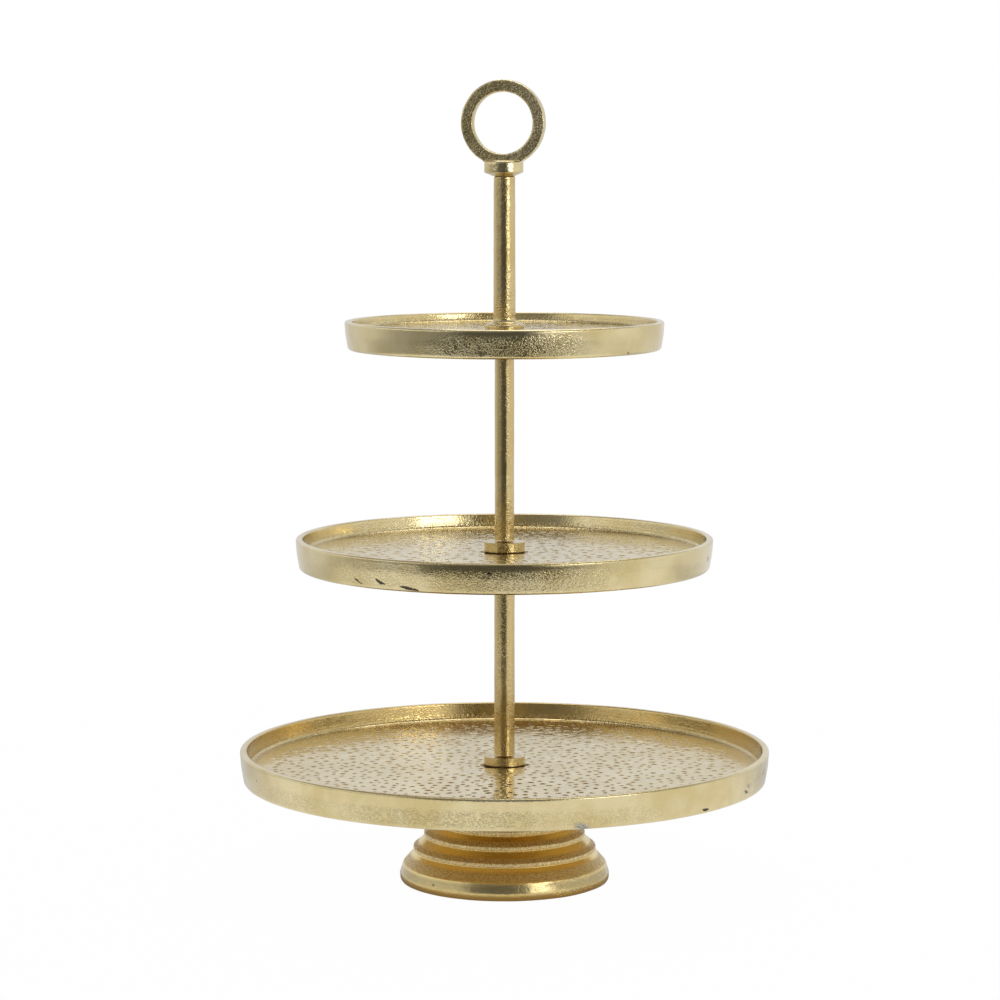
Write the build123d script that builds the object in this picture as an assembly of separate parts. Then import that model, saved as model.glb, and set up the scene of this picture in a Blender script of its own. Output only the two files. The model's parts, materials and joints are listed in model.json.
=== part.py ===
"""Three-tier cake stand in cast aluminium with a brass-coloured finish.

A hollow stepped foot carries three round rimmed trays on a central column of three posts, which
screw together through the trays and end in a ring handle. Millimetres, +Z up, with the origin on
the table, under the middle of the foot. Plain cylinders stand in for the M8 threads.
"""

from build123d import *
from dataclasses import dataclass
import math
import os

# Screwed joints: M8 thread, one size for the base bolt and the three studs
THREAD_R = 4.0
THREAD_PITCH = 1.25
THREAD_TURNS = 10
ENGAGED = THREAD_PITCH * THREAD_TURNS  # thread length held by the piece above
RUNNING_GAP = 0.05  # radial play of a stud in the piece that unscrews from it
FIXED_GAP = 0.02  # radial play of a stud glued into its own post
HOLE_R = 4.5  # clearance hole for the thread through trays, foot and washers
BLIND_SPACE = 4.0  # bore left above an engaged stud
STUD_SUNK = 18.0  # length of a stud glued into the post below it
THREAD_CHAMFER = 0.6  # at the tip of a stud or bolt
CUT_OVERRUN = 1.0  # how far a cutting body reaches past the surface it opens

# Trays
RIM_WIDTH = 6.0
RIM_OUTER_ROUND = 2.0
RIM_INNER_ROUND = 1.2
WALL_DRAFT = 7.0  # degrees, walls narrow towards the table
FLOOR_THICKNESS = 4.5
COVE_R = 3.0  # round between floor and wall
BASE_ROUND = 3.0  # outer bottom edge
SKIRT_WIDTH = 6.5  # wall thickness at its bottom edge
SKIRT_ROUND = 1.0  # inner bottom edge
BOSS_DEPTH = 2.5
SEAT_R = 18.5  # spot face under a post's collar
SEAT_DEPTH = 0.5
SEAT_WASHER_R = 17.0

# Thin fibre washers: between a post's top and the tray's boss, and under the handle
UNDER_WASHER = 0.8
UNDER_WASHER_R = 8.2
HANDLE_WASHER = 0.5
HANDLE_WASHER_R = 8.4

# Posts
POST_BOTTOM_ROUND = 0.4
POST_TOP_ROUND = 0.5

# Foot: each tier is a sloping band that ends in a lip, (lip radius, height of the lip's lower edge)
FOOT_TIERS = [(61.1, 51.7), (70.2, 40.3), (79.7, 28.0)]
LIP_HEIGHT = 2.6
LIP_ROUNDING = (0.2, 0.4)  # how far the lip's face falls back at its lower and upper edge
LIP_SLOPE = (3.4, 2.4)  # how far the lip's rounded shoulder runs in and up
UNDERCUT = (1.1, 0.8)  # how far the groove under a lip runs in and down
SHOULDER = (88.4, 15.8)  # top edge of the bottom wall
BELLY = (91.3, 7.5)  # widest point of the bottom wall
BELLY_LOW = (91.1, 4.0)  # where the wall starts to round in towards the table
BASE_BULGE = (90.7, 1.6)  # a point on that round
BAND_BULGE = 0.35  # how far a band stands out from straight, in both directions
FOOT_BASE_R = 89.6
FOOT_RIM_WIDTH = 13.0  # flat ring that stands on the pads
FOOT_WALL = 6.0
FOOT_WAIST = (41.0, 62.5)  # a point on the hollow curve above the top lip
NECK = (34.0, 76.0)  # slimmest point
NECK_FLARE = (34.9, 82.5)  # a point on the curve from the neck to the top flange
FOOT_TOP_R = 38.0
FOOT_FLANGE = 7.0  # height of the top flange's straight side
FOOT_TOP_PLATE = 10.4
FOOT_CORE_STEP = 72.0  # height where the narrow core below the top plate starts to widen
FOOT_CORE_TIER = (43.1, 52.0)  # corner of the core under the top tier
FOOT_GASKET = 1.0
GASKET_INSET = 2.0  # from the foot's edge
PAD_THICKNESS = 0.6
PAD_R = 4.5
PAD_COUNT = 4

# Base bolt, hexagon head
BOLT_HEAD_FLATS = 13.0
BOLT_HEAD_HEIGHT = 5.3
FLAT_WASHER = (8.0, 1.6)  # outer radius, thickness
SPRING_WASHER = (7.0, 2.0)
SPRING_SPLIT = 1.2
WASHER_PLAY = 0.2  # radial play of the steel washers on the bolt

# Ring handle
HEAD_COLLAR_R = 16.5
HEAD_COLLAR_TOP = 625.4
HEAD_COLLAR_SIDE = 10.2
HEAD_COLLAR_ROUND = 2.6
HEAD_CHAMFER = 3.0  # height of the cone under the collar
HEAD_CHAMFER_RUN = 6.6  # how far that cone runs in
HEAD_CHAMFER_ROUND = 0.5
RING_CENTRE = 657.4
RING_OUTER_R = 36.5
RING_HOLE_R = 26.5
RING_THICKNESS = 9.0
RING_TURN = -14.5  # degrees about the column at rest
RING_ROUND = 1.2


@dataclass
class Tray:
    """Sizes of one tray, heights above the table."""

    name: str
    radius: float
    rim_top: float
    floor: float
    bottom: float
    boss_r: float

    @property
    def boss_bottom(self):
        return self.floor - FLOOR_THICKNESS - BOSS_DEPTH


@dataclass
class Post:
    """One length of the column: its radii just above the collar and at the top, and its collar."""

    name: str
    base_r: float
    top_r: float
    collar_r: float
    collar_height: float
    collar_round: float
    flare_r: float


LOWER_TRAY = Tray("lower_tray", 230.25, 117.3, 102.0, 89.7, 40.0)
MIDDLE_TRAY = Tray("middle_tray", 180.75, 301.3, 289.0, 275.0, 20.0)
TOP_TRAY = Tray("top_tray", 137.75, 488.5, 480.5, 464.0, 20.0)
TRAYS = [LOWER_TRAY, MIDDLE_TRAY, TOP_TRAY]

POSTS = [
    Post("lower_post", 8.95, 8.85, 17.8, 7.6, 0.7, 1.8),
    Post("middle_post", 8.45, 8.45, 17.7, 8.6, 0.7, 1.8),
    Post("upper_post", 9.55, 9.2, 16.8, 5.6, 2.4, 4.4),
]

FOOT_TOP = LOWER_TRAY.boss_bottom - FOOT_GASKET
HANDLE_BOTTOM = HEAD_COLLAR_TOP - HEAD_COLLAR_SIDE - HEAD_CHAMFER


def disc(outer_r, bottom, top, inner_r=0.0):
    """Flat round plate about the column, with a hole when inner_r is given."""
    standing = (Align.CENTER, Align.CENTER, Align.MIN)
    body = Pos(0, 0, bottom) * Cylinder(outer_r, top - bottom, align=standing)
    if inner_r:
        body -= disc(inner_r, bottom - CUT_OVERRUN, top + CUT_OVERRUN)
    return body


def half_section(points):
    """Face of a half section with straight sides, in the XZ plane."""
    return make_face(Polyline(*[(r, 0, z) for r, z in points], close=True)).face()


def rounded(face, radii):
    """Round the corners of a half section: radii maps a corner (r, z) to its radius."""
    for corner, radius in radii.items():
        near = face.vertices().sort_by_distance((corner[0], 0, corner[1]))[0]
        face = face.fillet_2d(radius, [near])
    return face


def tray(t):
    """Round tray: floor with a centre boss, drafted wall with a rounded rim, hollow underneath."""
    run = math.tan(math.radians(WALL_DRAFT))
    outer_base = t.radius - (t.rim_top - t.bottom) * run
    inner_top = t.radius - RIM_WIDTH
    inner_foot = inner_top - (t.rim_top - t.floor) * run
    under = t.floor - FLOOR_THICKNESS
    skirt_base = outer_base - SKIRT_WIDTH
    skirt_top = skirt_base - (under - t.bottom) * run
    corners = [
        (HOLE_R, t.boss_bottom),
        (t.boss_r, t.boss_bottom),
        (t.boss_r + BOSS_DEPTH, under),
        (skirt_top, under),
        (skirt_base, t.bottom),
        (outer_base, t.bottom),
        (t.radius, t.rim_top),
        (inner_top, t.rim_top),
        (inner_foot, t.floor),
        (SEAT_R, t.floor),
        (SEAT_R, t.floor - SEAT_DEPTH),
        (HOLE_R, t.floor - SEAT_DEPTH),
    ]
    section = half_section(corners)
    rounds = {
        (outer_base, t.bottom): BASE_ROUND,
        (t.radius, t.rim_top): RIM_OUTER_ROUND,
        (inner_top, t.rim_top): RIM_INNER_ROUND,
        (inner_foot, t.floor): COVE_R,
        (skirt_top, under): COVE_R,
        (skirt_base, t.bottom): SKIRT_ROUND,
    }
    return revolve(rounded(section, rounds), Axis.Z)


def threaded_bore(bottom):
    """What is cut from a post or the handle for the stud below it."""
    return disc(THREAD_R + RUNNING_GAP, bottom - CUT_OVERRUN, bottom + ENGAGED + BLIND_SPACE)


def stud_bore(top):
    """What is cut from the top of a post for the stud glued into it."""
    return disc(THREAD_R + FIXED_GAP, top - STUD_SUNK, top + CUT_OVERRUN)


def post(p, bottom, top):
    """Cast post: a collar at the bottom, a flare above it, then a slim, slightly tapered rod."""
    shoulder = bottom + p.collar_height
    corners = [
        (0, bottom),
        (p.collar_r, bottom),
        (p.collar_r, shoulder),
        (p.base_r, shoulder),
        (p.top_r, top),
        (0, top),
    ]
    section = half_section(corners)
    rounds = {
        (p.collar_r, bottom): POST_BOTTOM_ROUND,
        (p.collar_r, shoulder): p.collar_round,
        (p.base_r, shoulder): p.flare_r,
        (p.top_r, top): POST_TOP_ROUND,
    }
    body = revolve(rounded(section, rounds), Axis.Z)
    return body - threaded_bore(bottom) - stud_bore(top)


def threaded_rod(bottom, top):
    """Rod of the thread's size, chamfered at its upper tip."""
    body = disc(THREAD_R, bottom, top)
    return chamfer(body.edges().sort_by(Axis.Z)[-1], THREAD_CHAMFER)


def foot_outline():
    """Outer edges of the foot's half section, from the table up to the seat under the lower tray."""
    def point(r, z):
        return Vector(r, 0, z)

    base = point(FOOT_BASE_R, PAD_THICKNESS)
    edges = [
        ThreePointArc(base, point(*BASE_BULGE), point(*BELLY_LOW)),
        ThreePointArc(point(*BELLY_LOW), point(*BELLY), point(*SHOULDER)),
    ]
    here = point(*SHOULDER)
    for lip_r, lip_z in reversed(FOOT_TIERS):
        groove = point(lip_r - UNDERCUT[0], lip_z - UNDERCUT[1])
        lip_low = point(lip_r - LIP_ROUNDING[0], lip_z)
        lip_side = point(lip_r, lip_z + LIP_HEIGHT / 2)
        lip_top = point(lip_r - LIP_ROUNDING[1], lip_z + LIP_HEIGHT)
        crown = point(lip_r - LIP_SLOPE[0], lip_z + LIP_HEIGHT + LIP_SLOPE[1])
        bulge = (here + groove) * 0.5 + point(BAND_BULGE, BAND_BULGE)
        edges += [
            ThreePointArc(here, bulge, groove),
            Line(groove, lip_low),
            ThreePointArc(lip_low, lip_side, lip_top),
            Line(lip_top, crown),
        ]
        here = crown
    flange = point(FOOT_TOP_R, FOOT_TOP - FOOT_FLANGE)
    edges += [
        ThreePointArc(here, point(*FOOT_WAIST), point(*NECK)),
        ThreePointArc(point(*NECK), point(*NECK_FLARE), flange),
        Line(flange, point(FOOT_TOP_R, FOOT_TOP)),
    ]
    return edges


def foot():
    """Hollow stepped foot with a flat rim for the pads and a thick top plate for the base bolt."""
    plate_under = FOOT_TOP - FOOT_TOP_PLATE
    core_r = NECK[0] - FOOT_WALL
    inner_base = FOOT_BASE_R - FOOT_RIM_WIDTH
    inside = [
        (HOLE_R, FOOT_TOP),
        (HOLE_R, plate_under),
        (core_r, plate_under),
        (core_r, FOOT_CORE_STEP),
        FOOT_CORE_TIER,
        (SHOULDER[0] - 2 * FOOT_WALL, SHOULDER[1]),
        (inner_base, PAD_THICKNESS),
        (FOOT_BASE_R, PAD_THICKNESS),
    ]
    top_edge = Line((FOOT_TOP_R, 0, FOOT_TOP), (HOLE_R, 0, FOOT_TOP))
    inner_edges = Polyline(*[(r, 0, z) for r, z in inside]).edges()
    section = make_face(Wire([*foot_outline(), top_edge, *inner_edges]))
    return revolve(section, Axis.Z)


def foot_pads():
    """Self-adhesive felt dots under the foot's rim."""
    spot = FOOT_BASE_R - FOOT_RIM_WIDTH / 2
    places = PolarLocations(spot, PAD_COUNT, start_angle=45)
    dots = [place * disc(PAD_R, 0, PAD_THICKNESS) for place in places]
    return Compound(children=dots)


def base_bolt(seat):
    """Hexagon bolt from below: its head bears on the washers at height seat."""
    head_r = BOLT_HEAD_FLATS / math.sqrt(3)
    head = extrude(Pos(0, 0, seat - BOLT_HEAD_HEIGHT) * RegularPolygon(head_r, 6), BOLT_HEAD_HEIGHT)
    return head + threaded_rod(seat - CUT_OVERRUN, LOWER_TRAY.floor + ENGAGED)


def spring_washer(bottom):
    """Split lock washer, closed flat under the bolt's head."""
    radius, thickness = SPRING_WASHER
    ring = disc(radius, bottom, bottom + thickness, THREAD_R + WASHER_PLAY)
    middle = Pos(radius, 0, bottom + thickness / 2)
    return ring - middle * Box(radius, SPRING_SPLIT, 2 * thickness)


def ring_handle():
    """Flat finger ring cast in one with its collar, bored from below for the top stud."""
    side_bottom = HEAD_COLLAR_TOP - HEAD_COLLAR_SIDE
    collar = half_section(
        [
            (0, HANDLE_BOTTOM),
            (HEAD_COLLAR_R - HEAD_CHAMFER_RUN, HANDLE_BOTTOM),
            (HEAD_COLLAR_R, side_bottom),
            (HEAD_COLLAR_R, HEAD_COLLAR_TOP),
            (0, HEAD_COLLAR_TOP),
        ]
    )
    rounds = {
        (HEAD_COLLAR_R, HEAD_COLLAR_TOP): HEAD_COLLAR_ROUND,
        (HEAD_COLLAR_R, side_bottom): HEAD_CHAMFER_ROUND,
    }
    collar = revolve(rounded(collar, rounds), Axis.Z)
    face = Plane.XZ.offset(-RING_THICKNESS / 2)
    outline = Circle(RING_OUTER_R) - Circle(RING_HOLE_R)
    plate = extrude(face * Pos(0, RING_CENTRE) * outline, RING_THICKNESS)
    plate = fillet(plate.edges().filter_by(GeomType.CIRCLE), RING_ROUND)
    body = plate + collar - threaded_bore(HANDLE_BOTTOM)
    return Rot(0, 0, RING_TURN) * body


def build():
    """Every piece of the stand, by name."""
    plate_under = FOOT_TOP - FOOT_TOP_PLATE
    washer_under = plate_under - FLAT_WASHER[1]
    bolt_seat = washer_under - SPRING_WASHER[1]
    washer_hole = THREAD_R + WASHER_PLAY
    gasket_r = FOOT_TOP_R - GASKET_INSET
    pieces = {
        "foot": foot(),
        "foot_pads": foot_pads(),
        "base_flat_washer": disc(FLAT_WASHER[0], washer_under, plate_under, washer_hole),
        "base_spring_washer": spring_washer(bolt_seat),
        "base_bolt": base_bolt(bolt_seat),
        "foot_gasket": disc(gasket_r, FOOT_TOP, LOWER_TRAY.boss_bottom, HOLE_R),
    }
    # each post stands on its tray's floor and ends under the next tray's washer, or the handle
    tops = [t.boss_bottom - UNDER_WASHER for t in TRAYS[1:]] + [HANDLE_BOTTOM - HANDLE_WASHER]
    seats = [t.floor for t in TRAYS[1:]] + [HANDLE_BOTTOM]
    for t, p, top, seat in zip(TRAYS, POSTS, tops, seats):
        level = p.name.split("_")[0]
        pieces[t.name] = tray(t)
        pieces[f"{level}_seat_washer"] = disc(SEAT_WASHER_R, t.floor - SEAT_DEPTH, t.floor, HOLE_R)
        pieces[p.name] = post(p, t.floor, top)
        pieces[f"{level}_stud"] = threaded_rod(top - STUD_SUNK, seat + ENGAGED)
        if t is not LOWER_TRAY:
            below = t.boss_bottom - UNDER_WASHER
            pieces[f"{level}_under_washer"] = disc(UNDER_WASHER_R, below, t.boss_bottom, HOLE_R)
    washer_low = HANDLE_BOTTOM - HANDLE_WASHER
    pieces["handle_washer"] = disc(HANDLE_WASHER_R, washer_low, HANDLE_BOTTOM, HOLE_R)
    pieces["ring_handle"] = ring_handle()
    return pieces


os.makedirs("parts", exist_ok=True)
for name, solid in build().items():
    export_step(solid, f"parts/{name}.step")
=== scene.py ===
"""Looks of the three-tier cake stand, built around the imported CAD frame.

Every casting is remade as a dense mesh in the CAD's own place, with its dimples, lips, rounded
rims and slight foundry unevenness, and gets a procedural brass-lacquer material. Outlines are in
millimetres, (radius, height) about the column, and make_piece turns them into metres.
"""
import json
import math
import random

import bmesh
import bpy
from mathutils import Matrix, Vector, noise
from mathutils.geometry import delaunay_2d_cdt


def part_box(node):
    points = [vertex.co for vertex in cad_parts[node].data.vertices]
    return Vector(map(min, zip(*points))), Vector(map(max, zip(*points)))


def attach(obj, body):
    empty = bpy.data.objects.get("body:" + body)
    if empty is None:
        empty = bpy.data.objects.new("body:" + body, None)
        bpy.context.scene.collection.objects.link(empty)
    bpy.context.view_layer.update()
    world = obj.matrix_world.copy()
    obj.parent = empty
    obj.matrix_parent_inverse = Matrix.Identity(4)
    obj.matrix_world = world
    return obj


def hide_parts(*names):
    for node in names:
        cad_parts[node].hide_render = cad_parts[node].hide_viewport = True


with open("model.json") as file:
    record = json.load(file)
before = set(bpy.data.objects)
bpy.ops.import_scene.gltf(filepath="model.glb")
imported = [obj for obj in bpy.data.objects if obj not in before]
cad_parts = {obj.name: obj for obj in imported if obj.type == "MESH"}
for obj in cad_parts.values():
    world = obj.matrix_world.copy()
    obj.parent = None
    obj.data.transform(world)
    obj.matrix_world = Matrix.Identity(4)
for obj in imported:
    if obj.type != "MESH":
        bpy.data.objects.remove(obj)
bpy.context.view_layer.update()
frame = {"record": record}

MM = 0.001
record = frame["record"]
body_of = {n: b for b, ns in record["behaviour"]["bodies"].items() for n in ns}
floor_of = {m["name"]: m["pos_m"][2] / MM for m in record["mounts"]}

# Trays
RIM_WIDTH = 6.0
RIM_OUTER_ROUND = 2.0
RIM_INNER_ROUND = 1.2
WALL_DRAFT = math.tan(math.radians(7))
FLOOR_THICKNESS = 4.5
COVE_R = 3.0
BASE_ROUND = 3.0
SKIRT_WIDTH = 6.5
BOSS_DEPTH = 2.5
FLOOR_EDGE = 5.0  # how far inside the wall's foot the dimpled mesh of the floor ends
SEAT_R = 18.5
SEAT_DEPTH = 0.5
HOLE_R = 4.5
BOSS_R = {"lower": 40.0, "middle": 20.0, "top": 20.0}
# How far the wall stands out from straight, at which share of its height, in which round
WALL_BULGE = (0.6, 0.55, 60.0)

# Dimples cast in the tray floors
DIMPLE_R = (2.0, 3.7)  # smallest and largest
DIMPLE_DEPTH = 0.22  # times its radius
DIMPLE_STRETCH = (1.0, 1.35)  # how oval it is
DIMPLE_AREA = 112.0  # of floor for each dimple, square millimetres
DIMPLE_MARGIN = 15.0  # plain strip inside the wall
DIMPLE_GAP = 1.3  # smallest distance between two, in sums of their radii
DIMPLE_RINGS = [(0.42, 6), (0.76, 10), (1.0, 12), (1.13, 12)]  # share of the radius, points
FLOOR_STEP = 4.5  # mesh size of the plain floor

# Posts: radius above the collar and at the top, height of the collar, rounds of collar and flare
POSTS = {
    "lower": (8.95, 8.85, 7.6, 0.7, 1.8),
    "middle": (8.45, 8.45, 8.6, 0.7, 1.8),
    "upper": (9.55, 9.2, 5.6, 2.4, 4.4),
}
POST_DEPTH = 0.55  # how much deeper in tone than the trays
BORE_R = 4.05
BORE_DEPTH = 16.5
STUD_SUNK = 18.0
THREAD_R = 4.0
THREAD_PITCH = 1.25
THREAD_DEPTH = 0.75
TIP_CHAMFER = 0.6
BOLT_FLATS = 13.0
BOLT_HEAD_HEIGHT = 5.3
BOLT_CHAMFER = 0.35
WASHER_EDGE = 0.15  # how far a washer's edges are broken
WASHER_PLAY = 0.2  # of the steel washers on the bolt
WASHER_GAP = 10  # of the lock washer, in degrees

# Foot: sloping bands that end in lips, (lip radius, height of the lip's lower edge)
FOOT_TIERS = [(79.7, 28.0), (70.2, 40.3), (61.1, 51.7)]
LIP_HEIGHT = 2.6
LIP_SLOPE = (3.4, 2.4)  # run in and up of its rounded shoulder
LIP_UNDERCUT = (1.1, 1.0)  # run in and down of the groove under it
LIP_MIDDLE = (1.8, 2.5)  # in and up from its edge to the middle of the worn part
LIP_REACH = 3.9  # half width of the worn part
GRITTY_BAND_Z = 19.5
# Other corners of its outline, (radius, height, round)
FOOT_BELLY = [(90.9, 2.2, 2.0), (91.4, 7.0, 8.0), (88.6, 15.6, 1.0)]
FOOT_NECK = [(41.5, 61.5, 8.0), (34.0, 74.0, 8.0), (34.4, 82.0, 4.0), (38.0, 87.0, 1.0)]
FOOT_CORE = [(28.0, 72.0, 6.0), (43.1, 52.0, 6.0), (76.4, 15.8, 6.0)]
FOOT_BASE_R = 89.6
FOOT_RIM_WIDTH = 13.0
FOOT_TOP_R = 38.0
FOOT_TOP_PLATE = 10.4
PAD_R = 4.5
PAD_COUNT = 4

# Ring handle
RING_R = (26.4, 36.7)
RING_THICKNESS = 9.2
RING_ROUND = 1.5
RING_SHIFT = -1.0  # the ring is cast a little to the left of its collar's middle
RING_CENTRE = 657.4
RING_TURN = math.radians(-14.5)
HEAD_COLLAR_R = 16.8
HEAD_COLLAR_TOP = 625.4
HEAD_COLLAR_SIDE = 10.2
HEAD_COLLAR_ROUND = 2.4
HEAD_CHAMFER_R = 9.9
SHOULDERS_LOW = (16.6, 624.2)  # half width and height of the wedge between ring and collar
SHOULDERS_HIGH = (21.6, 630.4)

# Unevenness, coarse and fine, as wobble takes it
TRAY_WOBBLE = [(0.22, 0.10, 38.0, 0), (0.07, 0.03, 11.0, 5)]
POST_WOBBLE = [(0.16, 0.0, 14.0, 0), (0.05, 0.03, 4.0, 3)]
FOOT_WOBBLE = [(0.3, 0.18, 26.0, 4), (0.10, 0.07, 7.0, 9)]
WASHER_WOBBLE = [(0.05, 0.02, 6.0, 0)]
PAD_WOBBLE = [(0.25, 0.0, 1.5, 0)]

# Mesh sizes: segments all round, and the longest edge along an outline
TRAY_SEGMENTS = 360
FOOT_SEGMENTS = 288
RING_SEGMENTS = 160
COLLAR_SEGMENTS = 96
POST_SEGMENTS = 80
DRILL_SEGMENTS = 48
WASHER_SEGMENTS = 96
PAD_SEGMENTS = 48
OUTLINE_STEP = 1.6
UNDERSIDE_STEP = 6.0
POST_STEP = 1.5
HANDLE_STEP = 1.0
HANDLE_VOXEL = 0.42

# Rough patches of each wall: direction in degrees from the front, half width, strength
WALL_GRAIN = {
    "lower": [
        (-52, 12, 0.7), (-14, 22, 1.0), (22, 14, 0.6),
        (78, 14, 0.6), (165, 35, 0.7), (-140, 18, 0.8),
    ],
    "middle": [(6, 24, 1.0), (-38, 13, 0.5), (120, 25, 0.8), (-120, 30, 0.7)],
    "top": [(2, 23, 1.0), (110, 20, 0.6), (-150, 40, 0.8)],
}
# How far up the wall the rough patches reach
WALL_GRAIN_TOP = {"lower": 0.60, "middle": 0.74, "top": 0.80}
# Dark casting flaws: direction, share of the wall's height, half length, half height, slant
WALL_FLAWS = {
    "lower": [
        (47, 0.12, 7, 1.3, 0), (63, 0.3, 6, 2.0, 0.3),
        (-66, 0.55, 1.4, 1.4, 0), (3.5, 0.10, 0.7, 2.2, 0),
    ],
    "middle": [
        (-43, 0.22, 5, 1.7, 0.5), (-35, 0.26, 6, 2.0, 0.4),
        (-26, 0.12, 12, 1.6, 0.1), (-4, 0.70, 4, 1.5, 0),
    ],
    "top": [(50, 0.1, 1.4, 1.4, 0)],
}
# Grey scuffs, in the same terms
WALL_SCUFFS = {
    "lower": [(16, 0.10, 8, 3.6, 0.2), (64, 0.45, 5, 2.6, 0.2), (75, 0.6, 5, 3.0, -0.3)],
    "middle": [(75, 0.5, 5, 2.6, 0.3)],
    "top": [],
}
# How much painted bounce reflection, a deeper tone, the inside of the wall gets
INNER_PAINTED_BOUNCE = {"lower": 0.9, "middle": 0.1, "top": 0.1}

# Faults of the foot's bottom wall: direction, height, half length, half height and slant
FOOT_FLAWS = [(-42, 9.5, 1.4, 1.6, 0)]
FOOT_SCUFFS = [
    (30, 13.5, 12, 1.3, -0.1), (42, 15.5, 12, 2.0, -0.1),
    (55, 13.5, 9, 1.6, 0), (40, 6, 14, 1.0, -0.1),
]

# The camera, fitted to the outlines of the photograph: metres, millimetres on a 36 mm sensor,
# sideways shift as a share of the picture, degrees below level
CAMERA_PLACE = (0.0, -2.8515, 0.6494)
CAMERA_LENS = 119.5
CAMERA_SHIFT = -0.0045
CAMERA_DIP = 6.3225

# What reflections find just above eye level, higher up, at eye level and below it: stops of
# (degrees from the front, light)
HIGH_LIGHT = [
    (-180, 0.76), (-120, 0.80), (-95, 0.95), (-44, 1.00), (-32, 0.24),
    (16, 0.07), (26, 0.95), (95, 0.95), (125, 0.80), (180, 0.78),
]
UPPER_LIGHT = [
    (-180, 0.84), (-120, 0.80), (-95, 0.90), (-52, 0.90), (-38, 0.24),
    (20, 0.18), (32, 0.60), (60, 0.85), (125, 0.85), (180, 0.84),
]
LEVEL_LIGHT = [
    (-180, 0.74), (-110, 0.70), (-80, 0.40), (-44, 0.28), (-30, 0.12),
    (16, 0.08), (28, 0.85), (95, 0.90), (125, 0.80), (180, 0.78),
]
LOW_LIGHT = [
    (-180, 0.62), (-130, 0.72), (-105, 0.48), (-66, 0.30), (-45, 0.09),
    (30, 0.09), (50, 0.40), (72, 0.80), (120, 0.80), (180, 0.75),
]


def size(node):
    """Lowest and highest corner of a CAD node, in millimetres."""
    low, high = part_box(node)
    return low / MM, high / MM


# ---------------------------------------------------------------- outlines and meshes

def rounded_outline(corners, step=2.0, closed=True):
    """Points along a half section. A corner is (r, z) or (r, z, round); long runs are divided."""
    points = []
    count = len(corners)
    for i, corner in enumerate(corners):
        here = Vector(corner[:2])
        radius = corner[2] if len(corner) > 2 else 0
        if radius <= 0 or (not closed and i in (0, count - 1)):
            points.append(here)
            continue
        back = (Vector(corners[i - 1][:2]) - here).normalized()
        ahead = (Vector(corners[(i + 1) % count][:2]) - here).normalized()
        turn = math.pi - back.angle(ahead)
        start = here + back * radius * math.tan(turn / 2)
        end = here + ahead * radius * math.tan(turn / 2)
        centre = here + (back + ahead).normalized() * (radius / math.cos(turn / 2))
        steps = max(2, round(turn / math.radians(13)))
        for k in range(steps + 1):
            share = k / steps
            ray = (start - centre) * math.sin((1 - share) * turn)
            ray += (end - centre) * math.sin(share * turn)
            points.append(centre + ray / math.sin(turn))
    out = []
    for p, q in zip(points, points[1:] + points[:1] if closed else points[1:]):
        parts = max(1, math.ceil((q - p).length / step - 1e-6))
        out += [p.lerp(q, k / parts) for k in range(parts)]
    if not closed:
        out.append(points[-1])
    return out


def lathe(outline, segments, closed=False):
    """Turn an outline about the column. A point on the axis becomes one vertex."""
    verts, faces, rings = [], [], []
    for p in outline:
        rings.append(len(verts))
        around = 1 if p.x < 1e-6 else segments
        for s in range(around):
            t = 2 * math.pi * s / segments
            verts.append(Vector((p.x * math.cos(t), p.x * math.sin(t), p.y)))
    pairs = list(zip(range(len(outline)), range(1, len(outline))))
    if closed:
        pairs.append((len(outline) - 1, 0))
    for i, j in pairs:
        tip_i, tip_j = outline[i].x < 1e-6, outline[j].x < 1e-6
        for s in range(segments):
            n = (s + 1) % segments
            if tip_i:
                faces.append((rings[i], rings[j] + n, rings[j] + s))
            elif tip_j:
                faces.append((rings[i] + s, rings[i] + n, rings[j]))
            else:
                faces.append((rings[i] + s, rings[i] + n, rings[j] + n, rings[j] + s))
    return verts, faces


def join(*parts):
    """One mesh from several (verts, faces) pairs."""
    verts, faces = [], []
    for part_verts, part_faces in parts:
        start = len(verts)
        verts += part_verts
        faces += [tuple(start + i for i in f) for f in part_faces]
    return verts, faces


def wobble(verts, layers, seed=0.0):
    """Foundry unevenness: smooth noise moves each point in or out, and up or down.

    A layer is (reach in or out, reach up or down, size of the unevenness, its own seed)."""
    for radial, upright, grain, own_seed in layers:
        key = seed + own_seed
        shift = Vector((key * 7.3, key * 3.1, key * 5.7))
        for v in verts:
            place = v / grain + shift
            r = math.hypot(v.x, v.y)
            if r > 1e-6:
                push = 1 + radial * noise.noise(place) / r
                v.x *= push
                v.y *= push
            v.z += upright * noise.noise(place + Vector((31.7, 0, 0)))


def drift(place):
    """Smooth noise in three directions, the same each run (noise_vector is seeded by the clock)."""
    return Vector([noise.noise(place + Vector((shift, 0, 0))) for shift in (0, 31.7, 57.3)])


def make_piece(name, verts, faces, nodes, material, paint=None):
    """A smooth-shaded piece that stands for CAD nodes and rides on their body.

    paint maps an attribute's name to a function of a point in millimetres."""
    mesh = bpy.data.meshes.new(name)
    mesh.from_pydata([v * MM for v in verts], [], faces)
    soup = bmesh.new()
    soup.from_mesh(mesh)
    bmesh.ops.remove_doubles(soup, verts=soup.verts, dist=1e-6)
    bmesh.ops.recalc_face_normals(soup, faces=soup.faces)
    soup.to_mesh(mesh)
    soup.free()
    mesh.shade_smooth()
    for attribute, value in (paint or {}).items():
        layer = mesh.attributes.new(attribute, "FLOAT", "POINT")
        layer.data.foreach_set("value", [value(v.co / MM) for v in mesh.vertices])
    mesh.materials.append(material)
    piece = bpy.data.objects.new(name, mesh)
    bpy.context.scene.collection.objects.link(piece)
    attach(piece, body_of[nodes[0]])
    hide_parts(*nodes)
    return piece


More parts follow.
